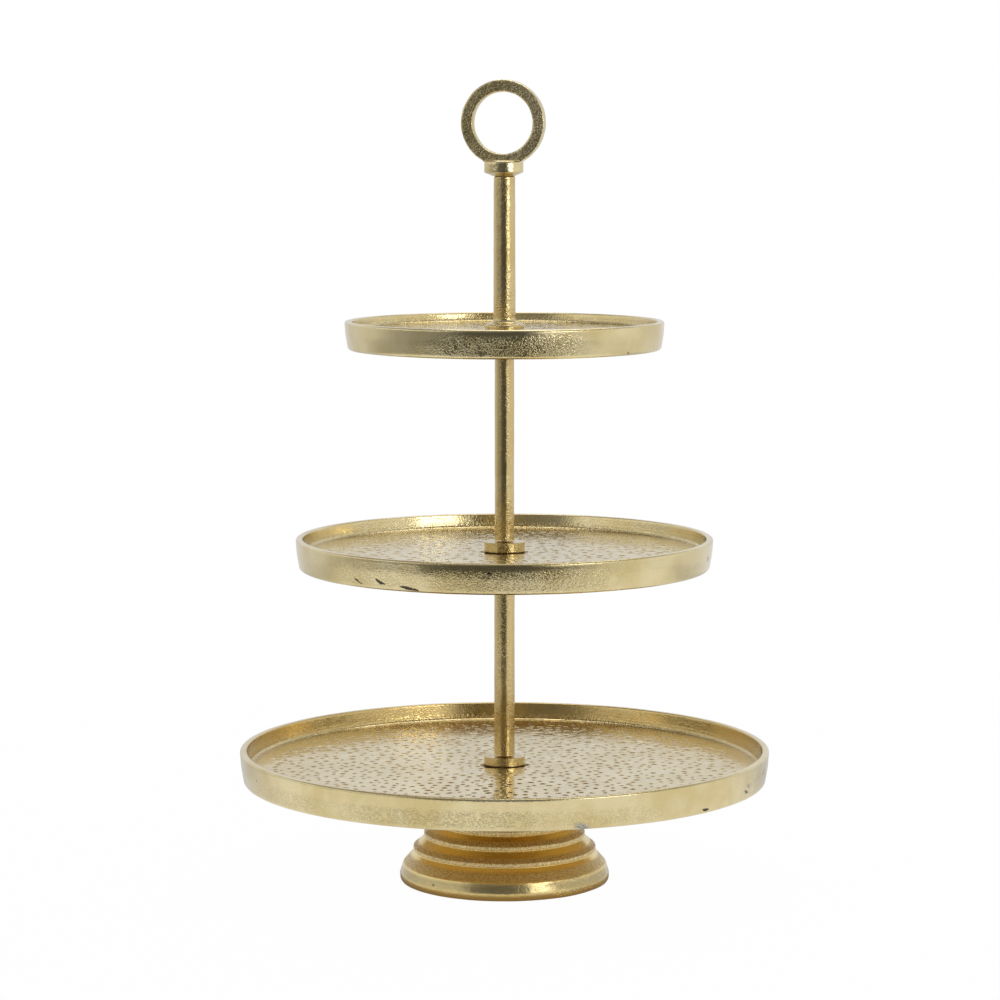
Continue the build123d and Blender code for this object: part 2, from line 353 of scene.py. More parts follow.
def spread(value, low, high):
    """0 below low, 1 above high, smooth between."""
    t = min(1.0, max(0.0, (value - low) / (high - low)))
    return t * t * (3 - 2 * t)


def blotches(p, marks, radius, bottom, height):
    """1 inside oval marks on an outer wall: (degrees from the front, share of height, half length,
    half height, slant)."""
    if math.hypot(p.x, p.y) < radius - 8:
        return 0.0
    turn = math.degrees(math.atan2(p.x, -p.y))
    worst = 0.0
    for angle, share, long, tall, slant in marks:
        along = math.radians(turn - angle) * radius
        above = p.z - bottom - share * height + slant * along
        worst = max(worst, 1 - spread(math.hypot(along / long, above / tall), 0.5, 1.1))
    return worst


def near_angle(p, centre, half, soft=8.0):
    """1 where a point's direction lies within half degrees of centre, counted from the front."""
    turn = math.degrees(math.atan2(p.x, -p.y)) - centre
    turn = abs((turn + 180) % 360 - 180)
    return 1 - spread(turn, half - soft, half + soft)


# ---------------------------------------------------------------- materials

def add(tree, kind, settings=None, **inputs):
    """Add a shader node. Inputs are named (Base_Color) or numbered (i0), values or sockets."""
    node = tree.nodes.new("ShaderNode" + kind)
    for key, value in (settings or {}).items():
        setattr(node, key, value)
    for key, value in inputs.items():
        place = int(key[1:]) if key[1:].isdigit() else key.replace("_", " ")
        if isinstance(value, bpy.types.NodeSocket):
            tree.links.new(value, node.inputs[place])
        else:
            node.inputs[place].default_value = value
    return node


def math_node(tree, operation, a, b=0.0):
    return add(tree, "Math", {"operation": operation}, i0=a, i1=b).outputs[0]


def noise_node(tree, place, scale, detail=2.0, rough=0.5, warp=0.0):
    """Fractal noise, 0 to 1; scale counts its features per metre."""
    settings = {"Scale": scale, "Detail": detail, "Roughness": rough, "Distortion": warp}
    return add(tree, "TexNoise", Vector=place, **settings).outputs["Fac"]


def limits(tree, value, low, high, to_low=0.0, to_high=1.0):
    """Smooth step from to_low below low to to_high above high."""
    settings = {"interpolation_type": "SMOOTHSTEP"}
    node = add(tree, "MapRange", settings, i0=value, i1=low, i2=high, i3=to_low, i4=to_high)
    return node.outputs[0]


def blend_colour(tree, share, a, b):
    """Colour a, or b where share is 1."""
    return add(tree, "Mix", {"data_type": "RGBA"}, i0=share, i6=a, i7=b).outputs[2]


def new_material(name):
    material = bpy.data.materials.new(name)
    material.use_nodes = True
    material.node_tree.nodes.clear()
    return material, material.node_tree


def finish_material(tree, shader):
    add(tree, "OutputMaterial", Surface=shader.outputs[0])


def darker(colour, share):
    return [c * share for c in colour[:3]] + [1]


def mixed(tree, *terms):
    """Sum of (value, weight) pairs."""
    total = math_node(tree, "MULTIPLY", *terms[0])
    for value, weight in terms[1:]:
        total = math_node(tree, "ADD", total, math_node(tree, "MULTIPLY", value, weight))
    return total


def cast_metal(name, bright, deep, worn, deep_tone_and_painted_reflection, painted_shade_tone, sheen):
    """Polished cast metal under clear lacquer, with matte grain, pits and rubbed patches.

    Painted attributes steer it: grain (matte, wormy skin), one for painted shade (shade and bounce
    light in the tray dimples, warm bounce on the foot's bottom edge, in the painted-shade colour),
    wear (where it is rubbed and gritty, in worn), flaw (dark casting faults) and one for a deeper
    tone (the posts' own tone, and painted reflection on the inner tray walls and the foot's bottom
    wall). sheen is the roughness of the plain metal."""
    material, tree = new_material(name)
    place = add(tree, "TexCoord").outputs["Object"]
    painted = {}
    for attribute in ("grain", "painted_shade", "wear", "flaw", "deep_tone_and_painted_reflection"):
        painted[attribute] = add(tree, "Attribute", {"attribute_name": attribute}).outputs["Fac"]

    clouds = noise_node(tree, place, 22.0, 3.0, 0.6)
    patches = noise_node(tree, place, 85.0, 3.0, 0.65)
    worms = limits(tree, noise_node(tree, place, 620.0, 1.5, 0.5, 0.6), 0.40, 0.60)
    fine = noise_node(tree, place, 1700.0, 2.0, 0.6)
    flat = add(tree, "VectorMath", {"operation": "MULTIPLY"}, i0=place, i1=(1, 1, 14)).outputs[0]
    streaks = noise_node(tree, flat, 120.0, 3.0, 0.7)

    matte = math_node(tree, "MULTIPLY", painted["grain"], limits(tree, patches, 0.28, 0.48))
    tone = blend_colour(tree, limits(tree, clouds, 0.35, 0.7), bright, deep)
    # painted reflection: the inner tray walls and the foot's bottom wall turn to the deeper colour
    # for bounce and dark reflections; on the posts it is their own deeper tone
    tone = blend_colour(tree, painted["deep_tone_and_painted_reflection"], tone, deep_tone_and_painted_reflection)
    tone = blend_colour(tree, limits(tree, streaks, 0.45, 0.75, 0, 0.35), tone, deep)
    speck = math_node(tree, "MULTIPLY", matte, worms)
    tone = blend_colour(tree, math_node(tree, "MULTIPLY", speck, 0.38), tone, darker(deep, 0.55))
    # painted shade: the dimples turn darker and warmer, and the foot's bottom edge warmer, for the
    # shade and bounce light there
    hollow = math_node(tree, "MULTIPLY", painted["painted_shade"], 0.95)
    tone = blend_colour(tree, hollow, tone, painted_shade_tone)
    rubbed = math_node(tree, "MULTIPLY", painted["wear"], limits(tree, fine, 0.25, 0.6, 0.45, 1.0))
    grit = noise_node(tree, place, 850.0, 2.0, 0.7)
    gritty = blend_colour(tree, limits(tree, grit, 0.44, 0.60), worn, darker(worn, 0.45))
    tone = blend_colour(tree, rubbed, tone, gritty)
    ragged = noise_node(tree, place, 420.0, 3.0, 0.65)
    torn = limits(tree, mixed(tree, (painted["flaw"], 0.9), (ragged, 1.5)), 1.20, 1.32)
    dirt = math_node(tree, "MULTIPLY", torn, limits(tree, painted["flaw"], 0.02, 0.2))
    tone = blend_colour(tree, dirt, tone, FLAW_TONE)

    fine_spots = limits(tree, fine, 0.4, 0.7)
    rough = mixed(tree, (matte, 0.05), (fine_spots, 0.05), (rubbed, 0.32))
    rough = math_node(tree, "ADD", rough, sheen)
    grainy = math_node(tree, "MULTIPLY", worms, matte)
    rasp = math_node(tree, "MULTIPLY", fine, rubbed)
    relief = mixed(tree, (fine, 0.018), (streaks, 0.022), (grainy, 0.15), (rasp, 0.12),
                   (dirt, -0.2))
    bump = add(tree, "Bump", Strength=1.0, Distance=MM, Height=relief)
    shader = add(tree, "BsdfPrincipled", Base_Color=tone, Metallic=1.0, Roughness=rough,
                 Normal=bump.outputs[0], Coat_Weight=0.3, Coat_Roughness=0.08, Coat_IOR=1.5)
    finish_material(tree, shader)
    return material


def zinc_steel():
    """Bright zinc plating with faint mottling."""
    material, tree = new_material("zinc_steel")
    place = add(tree, "TexCoord").outputs["Object"]
    mottle = noise_node(tree, place, 300.0, 3.0)
    fine = noise_node(tree, place, 2500.0, 2.0)
    tone = blend_colour(tree, mottle, [0.50, 0.52, 0.55, 1], [0.68, 0.69, 0.70, 1])
    bump = add(tree, "Bump", Strength=0.4, Distance=0.02 * MM, Height=fine)
    shader = add(tree, "BsdfPrincipled", Base_Color=tone, Metallic=1.0,
                 Roughness=limits(tree, mottle, 0.2, 0.8, 0.22, 0.42), Normal=bump.outputs[0])
    finish_material(tree, shader)
    return material


def fibre():
    """Vulcanised fibre: pressed paper, faintly mottled."""
    material, tree = new_material("fibre")
    place = add(tree, "TexCoord").outputs["Object"]
    mottle = noise_node(tree, place, 500.0, 4.0, 0.7)
    tone = blend_colour(tree, mottle, [0.30, 0.17, 0.10, 1], [0.48, 0.30, 0.19, 1])
    bump = add(tree, "Bump", Strength=0.5, Distance=0.05 * MM, Height=mottle)
    shader = add(tree, "BsdfPrincipled", Base_Color=tone,
                 Roughness=limits(tree, mottle, 0.2, 0.8, 0.6, 0.8), Normal=bump.outputs[0])
    finish_material(tree, shader)
    return material


def felt():
    """Pressed wool felt with a matted surface."""
    material, tree = new_material("felt")
    place = add(tree, "TexCoord").outputs["Object"]
    fluff = noise_node(tree, place, 1800.0, 5.0, 0.8, 1.0)
    tone = blend_colour(tree, fluff, [0.03, 0.03, 0.028, 1], [0.12, 0.115, 0.11, 1])
    bump = add(tree, "Bump", Strength=1.0, Distance=0.2 * MM, Height=fluff)
    shader = add(tree, "BsdfPrincipled", Base_Color=tone, Sheen_Weight=0.4,
                 Roughness=limits(tree, fluff, 0.2, 0.8, 0.85, 1.0), Normal=bump.outputs[0])
    finish_material(tree, shader)
    return material


FLAW_TONE = (0.07, 0.055, 0.035, 1)
# Tones of the trays, posts and ring
GOLD = (0.78, 0.67, 0.39, 1)
GOLD_DEEP = (0.66, 0.53, 0.25, 1)
# the posts' own deeper tone, and the painted bounce reflection on the inner tray walls
OLD_GOLD = (0.62, 0.45, 0.17, 1)
SCUFFED = (0.50, 0.48, 0.42, 1)
# painted shade and bounce light inside the tray dimples
DIMPLE_PAINTED_SHADE = (0.43, 0.26, 0.055, 1)
# Tones of the foot: painted light, a lighter and warmer copy of the trays' gold for the shade and
# the gold bounce under the trays; the lips' worn tone is lightened the same way
AMBER = (0.97, 0.80, 0.38, 1)
AMBER_DEEP = (0.92, 0.71, 0.28, 1)
# painted dark reflection of the shaded floor on the foot's bottom wall
OLIVE = (0.48, 0.39, 0.19, 1)
GRITTY = (0.92, 0.73, 0.38, 1)
# painted warm bounce light on the foot's bottom edge
EDGE_PAINTED_BOUNCE = (0.98, 0.60, 0.16, 1)
gold = cast_metal("gold_casting", GOLD, GOLD_DEEP, SCUFFED, OLD_GOLD, DIMPLE_PAINTED_SHADE, 0.09)
# painted light: the foot's metal is drawn lighter and warmer than the trays' gold
amber_painted_bounce = cast_metal("amber_casting", AMBER, AMBER_DEEP, GRITTY, OLIVE, EDGE_PAINTED_BOUNCE, 0.19)
zinc = zinc_steel()
fibre_board = fibre()
felt_pad = felt()


# ---------------------------------------------------------------- trays

def dimples(reach, seed):
    """Places and radii of the floor's dimples, scattered at random without touching."""
    draw = random.Random(seed)
    wanted = int(math.pi * (reach ** 2 - SEAT_R ** 2) / DIMPLE_AREA)
    cell = 2.6 * DIMPLE_R[1]
    grid, spots = {}, []
    for _ in range(wanted * 12):
        if len(spots) >= wanted:
            break
        r = math.sqrt(draw.uniform((SEAT_R + 5) ** 2, reach ** 2))
        t = draw.uniform(0, 2 * math.pi)
        radius = draw.triangular(*DIMPLE_R)
        x, y = r * math.cos(t), r * math.sin(t)
        key = (int(x // cell), int(y // cell))
        cells = [(key[0] + i, key[1] + j) for i in (-1, 0, 1) for j in (-1, 0, 1)]
        close = [s for around in cells for s in grid.get(around, [])]
        if all(math.hypot(x - s[0], y - s[1]) > (radius + s[2]) * DIMPLE_GAP for s in close):
            spots.append((x, y, radius, draw.uniform(*DIMPLE_STRETCH), draw.uniform(0, math.pi)))
            grid.setdefault(key, []).append(spots[-1])
    return spots


def dimpled_floor(height, outer_r, seed):
    """Triangulated floor from the post's seat out to outer_r, with edges that match a lathe's."""
    flat, drop = [], []

    def circle(x, y, radius, count, depth, stretch=1.0, turn=0.0):
        for k in range(count):
            t = 2 * math.pi * k / count
            along, across = radius * math.cos(t) * stretch, radius * math.sin(t) / stretch
            place = Vector((along * math.cos(turn) - across * math.sin(turn),
                            along * math.sin(turn) + across * math.cos(turn)))
            flat.append(place + Vector((x, y)))
            drop.append(depth)

    circle(0, 0, outer_r, TRAY_SEGMENTS, 0)
    circle(0, 0, SEAT_R, TRAY_SEGMENTS // 4, 0)
    spots = dimples(outer_r - DIMPLE_MARGIN, seed)
    taken = set()
    for x, y, radius, stretch, turn in spots:
        flat.append(Vector((x, y)))
        drop.append(DIMPLE_DEPTH * radius)
        for share, count in DIMPLE_RINGS:
            depth = DIMPLE_DEPTH * radius * max(0.0, 1 - share ** 2)
            circle(x, y, radius * share, count, depth, stretch, turn)
        for i in range(-1, 2):
            for j in range(-1, 2):
                taken.add((round(x / FLOOR_STEP) + i, round(y / FLOOR_STEP) + j))
    steps = int(outer_r / FLOOR_STEP) + 1
    for i in range(-steps, steps + 1):
        for j in range(-steps, steps + 1):
            x = i * FLOOR_STEP + 0.9 * math.sin(7 * j + i)
            y = j * FLOOR_STEP + 0.9 * math.cos(5 * i + j)
            if SEAT_R + 2 < math.hypot(x, y) < outer_r - 1.5 and (i, j) not in taken:
                flat.append(Vector((x, y)))
                drop.append(0)
    verts, _, faces, source, _, _ = delaunay_2d_cdt(flat, [], [], 0, 1e-6)
    depth = [drop[origin[0]] for origin in source]
    solid = [Vector((v.x, v.y, height - d)) for v, d in zip(verts, depth)]
    kept = []
    for face in faces:
        middle = sum((verts[i] for i in face), Vector((0, 0))) / 3
        if middle.length > SEAT_R * math.cos(4 * math.pi / TRAY_SEGMENTS):
            kept.append(face)
    return solid, kept


def tray(level, finish, seed):
    """A round tray: dimpled floor, drafted wall with a rounded rim, hollow below with a boss."""
    node = f"{level}_tray"
    low, high = size(node)
    floor = floor_of[f"{node}_floor"]
    radius, rim_top, bottom = high.x, high.z, low.z
    outer_base = radius - (rim_top - bottom) * WALL_DRAFT
    inner_top = radius - RIM_WIDTH
    inner_foot = inner_top - (rim_top - floor) * WALL_DRAFT
    under = floor - FLOOR_THICKNESS
    skirt_base = outer_base - SKIRT_WIDTH
    skirt_top = skirt_base - (under - bottom) * WALL_DRAFT
    boss_r = BOSS_R[level]
    floor_edge = inner_foot - FLOOR_EDGE
    bulge, share, belly_round = WALL_BULGE
    belly_r = outer_base + (radius - outer_base) * share + bulge
    belly = (belly_r, bottom + (rim_top - bottom) * share, belly_round)
    corners = [
        (floor_edge, floor),
        (inner_foot, floor, COVE_R),
        (inner_top, rim_top, RIM_INNER_ROUND),
        (radius, rim_top, RIM_OUTER_ROUND),
        belly,
        (outer_base, bottom, BASE_ROUND),
        (skirt_base, bottom, 1.0),
        (skirt_top, under, COVE_R),
        (skirt_top - 2 * COVE_R, under),
        (boss_r + BOSS_DEPTH, under, 1.0),
        (boss_r, under - BOSS_DEPTH, 0.5),
        (HOLE_R, under - BOSS_DEPTH, 0.3),
        (HOLE_R, floor - SEAT_DEPTH, 0.3),
        (SEAT_R, floor - SEAT_DEPTH),
        (SEAT_R, floor),
    ]
    # the hidden underside gets longer steps, from its first plain corner on
    above = rounded_outline(corners[:9], OUTLINE_STEP, closed=False)
    below = rounded_outline(corners[8:], UNDERSIDE_STEP, closed=False)
    outline = above + below[1:]
    shell = lathe(outline, TRAY_SEGMENTS)
    field = dimpled_floor(floor, floor_edge, seed)
    verts, faces = join(shell, field)
    wobble(verts, TRAY_WOBBLE, seed)

    # painted shade inside the dimples, by depth below the floor
    def painted_shade(p):
        return spread(floor - 0.05 - p.z, 0.05, 0.35) if math.hypot(p.x, p.y) < floor_edge else 0.0

    make_piece(f"{node}_casting", verts, faces, [node], gold, {"painted_shade": painted_shade, **finish})


def tray_finish(level):
    """How grainy, flawed and worn each point of a tray is, and how much painted bounce reflection
    deepens the tone of its inner wall.
    """
    low, high = size(f"{level}_tray")
    floor = floor_of[f"{level}_tray_floor"]
    radius, height = high.x, high.z - low.z
    cove = radius - RIM_WIDTH - 3.0

    def grain(p):
        r = math.hypot(p.x, p.y)
        outside = spread(r, radius - 5.5, radius - 3.5)
        up = (p.z - low.z) / height
        if outside > 0 and up < 0.93:
            arcs = WALL_GRAIN[level]
            strength = max(near_angle(p, a, half) * s for a, half, s in arcs)
            top = WALL_GRAIN_TOP[level]
            inside = (1 - spread(up, top - 0.12, top + 0.08)) * spread(up, 0.04, 0.16)
            return 0.12 + strength * inside
        corner = 1 - spread(abs(r - cove + 2), 3.0, 8.0)
        inner = corner if p.z < floor + 4.5 else 0.2
        return max(inner, 0.25)

    def flaw(p):
        return blotches(p, WALL_FLAWS[level], radius, low.z, height)

    def wear(p):
        return blotches(p, WALL_SCUFFS[level], radius, low.z, height)

    # painted bounce reflection: deeper tone on the inner wall above the floor
    def deep_tone_and_painted_reflection(p):
        r = math.hypot(p.x, p.y)
        inside = 1 - spread(r, radius - 5.5, radius - 4)
        return INNER_PAINTED_BOUNCE[level] * inside * spread(p.z, floor + 0.5, floor + 2)

    return {"grain": grain, "flaw": flaw, "wear": wear, "deep_tone_and_painted_reflection": deep_tone_and_painted_reflection}


for seed, level in enumerate(("lower", "middle", "top")):
    tray(level, tray_finish(level), seed + 3)


# ---------------------------------------------------------------- column

def post(level):
    """A post: collar, flare and slim rod, bored at both ends."""
    low, high = size(f"{level}_post")
    base_r, top_r, collar_height, collar_round, flare = POSTS[level]
    collar_r = high.x
    outline = rounded_outline([
        (0, low.z + BORE_DEPTH),
        (BORE_R, low.z + BORE_DEPTH),
        (BORE_R, low.z, 0.3),
        (collar_r, low.z, 0.5),
        (collar_r, low.z + collar_height, collar_round),
        (base_r, low.z + collar_height, flare),
        (top_r, high.z, 0.6),
        (THREAD_R, high.z),
        (THREAD_R, high.z - STUD_SUNK),
        (0, high.z - STUD_SUNK),
    ], POST_STEP, closed=False)
    verts, faces = lathe(outline, POST_SEGMENTS)
    wobble(verts, POST_WOBBLE, high.z)

    def grain(p):
        up = (p.z - low.z) / (high.z - low.z)
        ends = max(1 - spread(up, 0.06, 0.3), spread(up, 0.72, 1.0))
        return 0.35 + 0.3 * ends

    paint = {"grain": grain, "deep_tone_and_painted_reflection": lambda p: POST_DEPTH}
    make_piece(f"{level}_post_casting", verts, faces, [f"{level}_post"], gold, paint)


def stack_faces(count, around):
    """Faces of count rings of points between a first and a last point on the axis."""
    faces = []
    last = 1 + (count - 1) * around
    for s in range(around):
        n = (s + 1) % around
        faces.append((0, 1 + n, 1 + s))
        for k in range(count - 1):
            a = 1 + k * around
            faces.append((a + s, a + n, a + around + n, a + around + s))
        faces.append((last + s, last + n, last + around))
    return faces


def threaded_rod(bottom, plain_to, top):
    """A rod, plain up to plain_to and with a helical thread from there to its chamfered tip."""
    around, per_pitch = 36, 12
    rows = [bottom, (bottom + plain_to) / 2]
    count = int((top - plain_to) / THREAD_PITCH * per_pitch)
    rows += [plain_to + k * (top - plain_to) / count for k in range(count + 1)]
    verts = [Vector((0, 0, bottom))]
    for z in rows:
        for s in range(around):
            t = 2 * math.pi * s / around
            phase = (z / THREAD_PITCH - s / around) % 1
            groove = THREAD_DEPTH * min(1.0, max(0.0, 1.25 - abs(phase - 0.5) * 4 * 0.9))
            groove *= spread(z, plain_to, plain_to + 1)
            r = min(THREAD_R - groove, THREAD_R - TIP_CHAMFER + (top - z))
            verts.append(Vector((r * math.cos(t), r * math.sin(t), z)))
    verts.append(Vector((0, 0, top)))
    return verts, stack_faces(len(rows), around)


def washer(node, inner_r, material):
    """A flat washer with its edges just broken."""
    low, high = size(node)
    corners = [(inner_r, low.z), (high.x, low.z), (high.x, high.z), (inner_r, high.z)]
    corners = [(r, z, WASHER_EDGE) for r, z in corners]
    verts, faces = lathe(rounded_outline(corners, 3.0), WASHER_SEGMENTS, closed=True)
    wobble(verts, WASHER_WOBBLE, low.z)
    make_piece(f"{node}_ring", verts, faces, [node], material)


for level in POSTS:
    post(level)
    low, high = size(f"{level}_stud")
    rod = threaded_rod(low.z + 0.1, low.z + STUD_SUNK - 2, high.z)
    make_piece(f"{level}_stud_screw", *rod, [f"{level}_stud"], zinc)
    washer(f"{level}_seat_washer", HOLE_R, fibre_board)
washer("middle_under_washer", HOLE_R, fibre_board)
washer("upper_under_washer", HOLE_R, fibre_board)
washer("handle_washer", HOLE_R, fibre_board)


# ---------------------------------------------------------------- ring handle

def ring_band():
    """The finger ring: a rounded bar swept round, standing across the column."""
    inner, outer = RING_R
    half = RING_THICKNESS / 2
    section = rounded_outline([
        (inner, -half, RING_ROUND),
        (outer, -half, RING_ROUND),
        (outer, half, RING_ROUND),
        (inner, half, RING_ROUND),
    ], HANDLE_STEP)
    verts, faces = lathe(section, RING_SEGMENTS, closed=True)
    return [Vector((v.x + RING_SHIFT, v.z, v.y + RING_CENTRE)) for v in verts], faces


def head_collar(bottom):
    """The collar under the ring, with its chamfered underside and a rounded top edge."""
    outline = rounded_outline([
        (0, bottom),
        (HEAD_CHAMFER_R, bottom, 0.3),
        (HEAD_COLLAR_R, HEAD_COLLAR_TOP - HEAD_COLLAR_SIDE, 0.8),
        (HEAD_COLLAR_R, HEAD_COLLAR_TOP, HEAD_COLLAR_ROUND),
        (0, HEAD_COLLAR_TOP),
    ], HANDLE_STEP, closed=False)
    verts, faces = lathe(outline, COLLAR_SEGMENTS)
    return [v + Vector((RING_SHIFT * 0.6, 0, 0)) for v in verts], faces


def ring_shoulders():
    """Wedge that carries the ring's flanks down into the corners of its collar."""
    verts = []
    for half, z in (SHOULDERS_LOW, SHOULDERS_HIGH):
        for x, y in ((-1, -1), (1, -1), (1, 1), (-1, 1)):
            verts.append(Vector((x * half + RING_SHIFT, y * RING_THICKNESS / 2, z)))
    faces = [(3, 2, 1, 0), (4, 5, 6, 7), (0, 1, 5, 4), (1, 2, 6, 5), (2, 3, 7, 6), (3, 0, 4, 7)]
    return verts, faces


def temporary(name, verts, faces):
    """A plain object, used to build another and then removed."""
    mesh = bpy.data.meshes.new(name)
    mesh.from_pydata(list(verts), [], faces)
    thing = bpy.data.objects.new(name, mesh)
    bpy.context.scene.collection.objects.link(thing)
    return thing


def ring_handle():
    """Ring and collar melted into one casting, then bored for the stud."""
    low, high = size("ring_handle")
    blank = temporary("handle_blank", *join(ring_band(), ring_shoulders(), head_collar(low.z)))
    remesh = blank.modifiers.new("melt", "REMESH")
    remesh.mode = "VOXEL"
    remesh.voxel_size = HANDLE_VOXEL
    soften = blank.modifiers.new("soften", "SMOOTH")
    soften.factor = 0.5
    soften.iterations = 3
    bore_end = low.z + BORE_DEPTH
    hole = [(0, low.z - 1), (BORE_R, low.z - 1), (BORE_R, bore_end), (0, bore_end)]
    drill = temporary("handle_drill",
                      *lathe(rounded_outline(hole, 2.0, closed=False), DRILL_SEGMENTS))
    bore = blank.modifiers.new("bore", "BOOLEAN")
    bore.operation = "DIFFERENCE"
    bore.solver = "EXACT"
    bore.object = drill
    shape = blank.evaluated_get(bpy.context.evaluated_depsgraph_get()).to_mesh()
    verts = [v.co.copy() for v in shape.vertices]
    faces = [tuple(p.vertices) for p in shape.polygons]
    for thing in (blank, drill):
        bpy.data.objects.remove(thing)
    for v in verts:
        x, y = v.x, v.y
        v.x = x * math.cos(RING_TURN) - y * math.sin(RING_TURN)
        v.y = x * math.sin(RING_TURN) + y * math.cos(RING_TURN)
        swell = drift(v / 9.0) * 0.22 + drift(v / 3.0) * 0.06
        v += swell * spread(math.hypot(v.x, v.y), 5, 8) if v.z < low.z + 18 else swell

    def grain(p):
        return 0.8 if p.z > HEAD_COLLAR_TOP + 1 else 0.3

    make_piece("ring_handle_casting", verts, faces, ["ring_handle"], gold, {"grain": grain})


ring_handle()


# ---------------------------------------------------------------- foot and its fasteners

def foot():
    """Hollow stepped foot: three lipped bands over a bellied bottom wall."""
    low, high = size("foot")
    outline = [(FOOT_BASE_R, low.z, 0.6), *FOOT_BELLY]
    for lip_r, lip_z in FOOT_TIERS:
        outline += [
            (lip_r - LIP_UNDERCUT[0], lip_z - LIP_UNDERCUT[1], 0.6),
            (lip_r, lip_z, 0.6),
            (lip_r - 0.1, lip_z + LIP_HEIGHT, 1.0),
            (lip_r - LIP_SLOPE[0], lip_z + LIP_HEIGHT + LIP_SLOPE[1], 1.2),
        ]
    outline += [
        *FOOT_NECK,
        (FOOT_TOP_R, high.z, 0.5),
        (HOLE_R, high.z, 0.3),
        (HOLE_R, high.z - FOOT_TOP_PLATE, 0.3),
        (FOOT_CORE[0][0], high.z - FOOT_TOP_PLATE, 3.0),
        *FOOT_CORE,
        (FOOT_BASE_R - FOOT_RIM_WIDTH, low.z, 1.0),
    ]
    verts, faces = lathe(rounded_outline(outline, OUTLINE_STEP), FOOT_SEGMENTS, closed=True)
    wobble(verts, FOOT_WOBBLE)

    def lips(p):
        """1 within a square about the middle of any lip's section."""
        worst = 1.0
        for lip_r, lip_z in FOOT_TIERS:
            out = abs(math.hypot(p.x, p.y) - lip_r + LIP_MIDDLE[0]) / LIP_REACH
            up = abs(p.z - lip_z - LIP_MIDDLE[1]) / LIP_REACH
            worst = min(worst, spread(max(out, up), 0.75, 1.05))
        return 1 - worst

    def band(p):
        """1 on the gritty slope over the bottom wall."""
        return 1 - spread(abs(p.z - GRITTY_BAND_Z), 2.5, 4.5)

    def grain(p):
        low_right = 0.9 * near_angle(p, 50, 24) * (1 - spread(p.z, 14, 18))
        return max(0.3, lips(p), 0.9 * band(p), low_right)

    # painted dark reflection of the shaded floor on the bottom wall, half as much on the gritty
    # band
    def deep_tone_and_painted_reflection(p):
        return max(1 - spread(p.z, 13, 16), 0.5 * band(p)) * spread(p.z, 5.0, 9.0)

    def flaw(p):
        return blotches(p, FOOT_FLAWS, FOOT_BASE_R, 0, 1)

    def wear(p):
        return max(lips(p), 0.75 * band(p), 0.9 * blotches(p, FOOT_SCUFFS, FOOT_BASE_R, 0, 1))

    # painted warm bounce light on the bottom edge, fading out between 3 and 8 mm up
    def edge_painted_bounce(p):
        return 0.95 * (1 - spread(p.z, 3.0, 8.0))

    paint = {"grain": grain, "wear": wear, "deep_tone_and_painted_reflection": deep_tone_and_painted_reflection, "flaw": flaw, "painted_shade": edge_painted_bounce}
    make_piece("foot_casting", verts, faces, ["foot"], amber_painted_bounce, paint)


def foot_pads():
    """Four felt dots with soft, slightly ragged edges."""
    low, high = size("foot_pads")
    spot = FOOT_BASE_R - FOOT_RIM_WIDTH / 2
    parts = []
    for k in range(PAD_COUNT):
        t = math.radians(45 + 360 * k / PAD_COUNT)
        corners = [(0, low.z), (PAD_R, low.z, 0.2), (PAD_R, high.z, 0.1), (0, high.z)]
        verts, faces = lathe(rounded_outline(corners, 0.6, closed=False), PAD_SEGMENTS)
        wobble(verts, PAD_WOBBLE, k)
        move = Vector((spot * math.cos(t), spot * math.sin(t), 0))
        parts.append(([v + move for v in verts], faces))
    make_piece("foot_felt_dots", *join(*parts), ["foot_pads"], felt_pad)


def base_bolt():
    """Hexagon bolt with a chamfered head and a helical thread."""
    low, high = size("base_bolt")
    seat = low.z + BOLT_HEAD_HEIGHT
    around = 120
    rows = [low.z + 0.12 * k for k in range(9)] + [low.z + 2, low.z + 3.5, seat - 0.1, seat]
    verts = [Vector((0, 0, low.z))]
    for z in rows:
        for s in range(around):
            t = 2 * math.pi * s / around
            hexagon = BOLT_FLATS / 2 / math.cos((t + math.pi / 6) % (math.pi / 3) - math.pi / 6)
            cone = BOLT_FLATS / 2 - BOLT_CHAMFER + (z - low.z) * 1.7
            r = min(hexagon, cone)
            verts.append(Vector((r * math.cos(t), r * math.sin(t), z)))
    verts.append(Vector((0, 0, seat)))
    hexagon_head = (verts, stack_faces(len(rows), around))
    shank = threaded_rod(seat - 1, seat + 4, high.z)
    bolt = make_piece("base_bolt_screw", *join(hexagon_head, shank), ["base_bolt"], zinc)
    bolt.data.set_sharp_from_angle(angle=math.radians(35))


def spring_washer():
    """Split lock washer: a flat ring with a slanted gap."""
    low, high = size("base_spring_washer")
    inner, outer = THREAD_R + WASHER_PLAY, high.y
    corners = [(inner, low.z, 0.2), (outer, low.z, 0.3), (outer, high.z, 0.3), (inner, high.z, 0.2)]
    outline = rounded_outline(corners, 1.0)
    steps, gap = 90, math.radians(WASHER_GAP)
    verts, faces = [], []
    for k in range(steps + 1):
        t = gap / 2 + (2 * math.pi - gap) * k / steps
        for p in outline:
            slant = t + 0.12 * (p.y - low.z - 1)
            verts.append(Vector((p.x * math.cos(slant), p.x * math.sin(slant), p.y)))
    count = len(outline)
    for k in range(steps):
        for i in range(count):
            n = (i + 1) % count
            a, b = k * count, (k + 1) * count
            faces.append((a + i, a + n, b + n, b + i))
    faces.append(tuple(range(count)))
    faces.append(tuple(steps * count + i for i in reversed(range(count))))
    make_piece("base_spring_washer_ring", verts, faces, ["base_spring_washer"], zinc)


foot()
foot_pads()
base_bolt()
spring_washer()
washer("base_flat_washer", THREAD_R + WASHER_PLAY, zinc)
washer("foot_gasket", HOLE_R, fibre_board)


# ---------------------------------------------------------------- stage, light and camera

